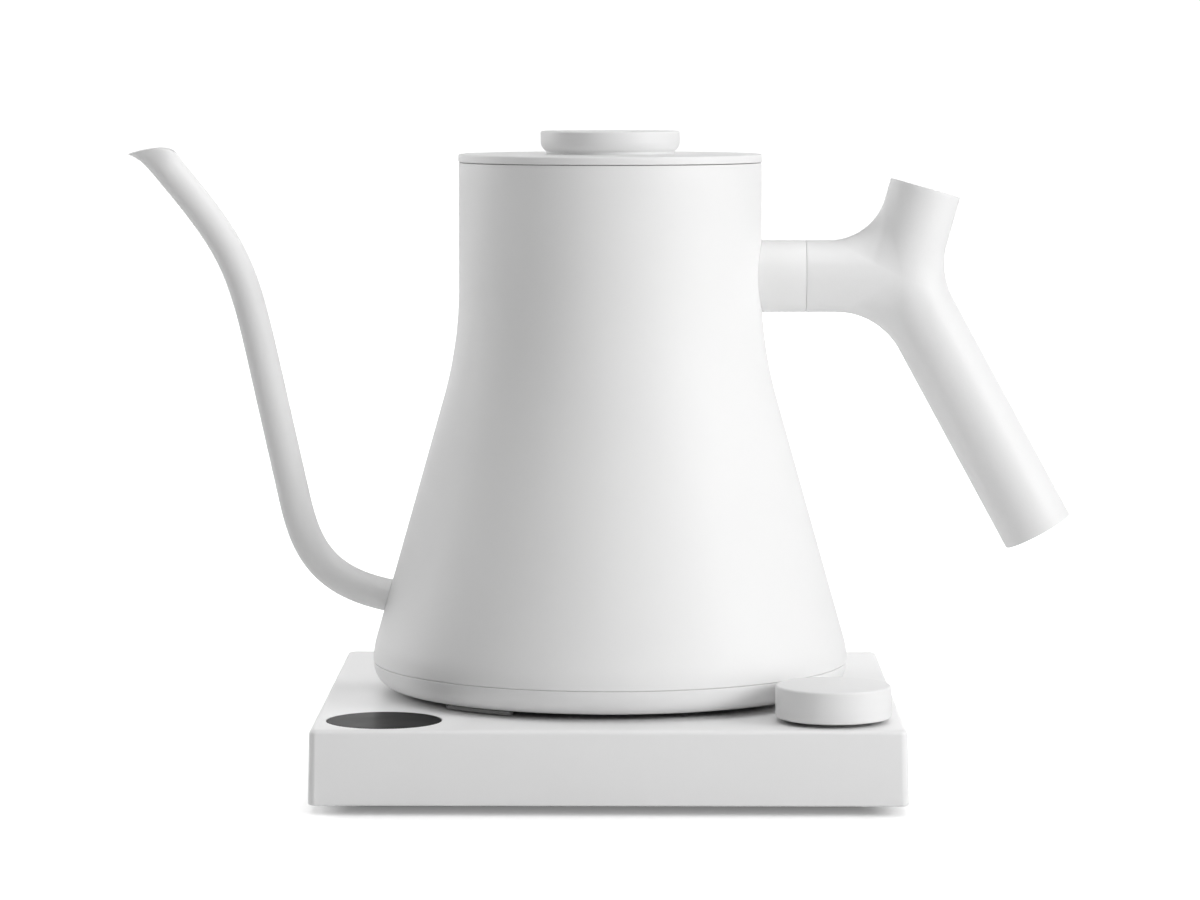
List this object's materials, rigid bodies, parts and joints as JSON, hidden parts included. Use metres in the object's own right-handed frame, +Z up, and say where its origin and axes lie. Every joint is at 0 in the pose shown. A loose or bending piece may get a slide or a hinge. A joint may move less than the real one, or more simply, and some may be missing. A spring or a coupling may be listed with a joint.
{
  "type": "gooseneck kettle",
  "caption": "Matte white electric gooseneck kettle with a Y-shaped handle and puck lid, on a square power base with a round display and a push dial.",
  "frame": {"origin": "on the kettle's vertical axis, at the level of the table under the base", "axes": "+X towards the handle, -Y towards the front edge with the display and the dial, +Z up"},
  "size_m": [0.2872, 0.1732, 0.1957],
  "materials": {
    "white_coat": "matte powder coat",
    "white_plastic": "fine matte moulding",
    "dark_plastic": "matte",
    "relay_plastic": "satin",
    "smoked_lens": "gloss, dark smoked",
    "rubber": "matte",
    "silicone": "translucent grey, matte",
    "screw_steel": "satin",
    "bare_steel": "satin",
    "aluminium": "rolled, satin",
    "brass": "plain",
    "board": "solder resist",
    "lead": "silicone-insulated wire"
  },
  "bodies": {
    "power_base": {"base_housing": "white_plastic", "base_bottom_cover": "dark_plastic", "base_foot_1": "rubber", "base_foot_2": "rubber", "base_foot_3": "rubber", "base_foot_4": "rubber", "base_screw_1": "screw_steel", "base_screw_2": "screw_steel", "base_screw_3": "screw_steel", "base_screw_4": "screw_steel", "base_connector": "white_plastic", "base_contact_tube": "brass", "base_contact_ring": "brass", "display_lens": "smoked_lens", "display_module": "dark_plastic", "control_board": "board", "beeper": "dark_plastic", "power_board": "board", "power_relay": "relay_plastic", "transformer": "relay_plastic", "smoothing_capacitor": "dark_plastic", "cord_inlet": "dark_plastic", "encoder_body": "dark_plastic"},
    "encoder_rotor": {"encoder_sleeve": "screw_steel"},
    "dial": {"dial": "white_plastic", "dial_shaft": "screw_steel"},
    "switch_plunger": {"switch_plunger": "brass"},
    "kettle_coupler": {"kettle_connector": "dark_plastic", "socket_pin": "brass", "socket_ring_blade": "brass"},
    "kettle": {"kettle_body": "white_coat", "spout": "white_coat", "flow_restrictor": "silicone", "kettle_base_ring": "white_plastic", "kettle_bottom_cover": "dark_plastic", "kettle_screw_1": "screw_steel", "kettle_screw_2": "screw_steel", "kettle_screw_3": "screw_steel", "kettle_rest_pad_1": "silicone", "kettle_rest_pad_2": "silicone", "kettle_rest_pad_3": "silicone", "kettle_floor": "bare_steel", "heat_spreader": "aluminium", "heating_element": "bare_steel", "thermal_cutout": "dark_plastic", "thermal_fuse": "dark_plastic", "temperature_probe": "bare_steel", "heater_lead_1": "lead", "heater_lead_2": "lead", "handle_bracket": "white_coat", "handle_grip": "white_plastic", "handle_bolt": "screw_steel", "grip_counterweight": "screw_steel", "grip_end_plug": "white_plastic"},
    "lid": {"lid_plate": "white_coat", "lid_cup": "dark_plastic", "lid_gasket": "silicone", "lid_knob": "white_plastic", "lid_knob_screw": "screw_steel"}
  },
  "joints": [
    {"name": "kettle_lift", "type": "slide", "parent": "power_base", "child": "kettle_coupler", "axis": [0, 0, 1], "range_m": [0, 0.12]},
    {"name": "kettle_swivel", "type": "hinge", "parent": "kettle_coupler", "child": "kettle", "pos_m": [0, 0, 0.025], "axis": [0, 0, 1], "continuous": true},
    {"name": "lid_lift", "type": "slide", "parent": "kettle", "child": "lid", "axis": [0, 0, 1], "range_m": [0, 0.1]},
    {"name": "dial_turn", "type": "hinge", "parent": "power_base", "child": "encoder_rotor", "pos_m": [0.0656, -0.0665, 0.02485], "axis": [0, 0, 1], "continuous": true},
    {"name": "dial_press", "type": "slide", "parent": "encoder_rotor", "child": "dial", "axis": [0, 0, -1], "range_m": [0, 0.0005], "stiffness_N_per_m": 3000, "springref_m": -0.0003},
    {"name": "plunger_press", "type": "slide", "parent": "power_base", "child": "switch_plunger", "axis": [0, 0, -1], "range_m": [0, 0.0005]}
  ],
  "couplings": [
    {"joint": "plunger_press", "follows": "dial_press", "ratio": 1}
  ]
}
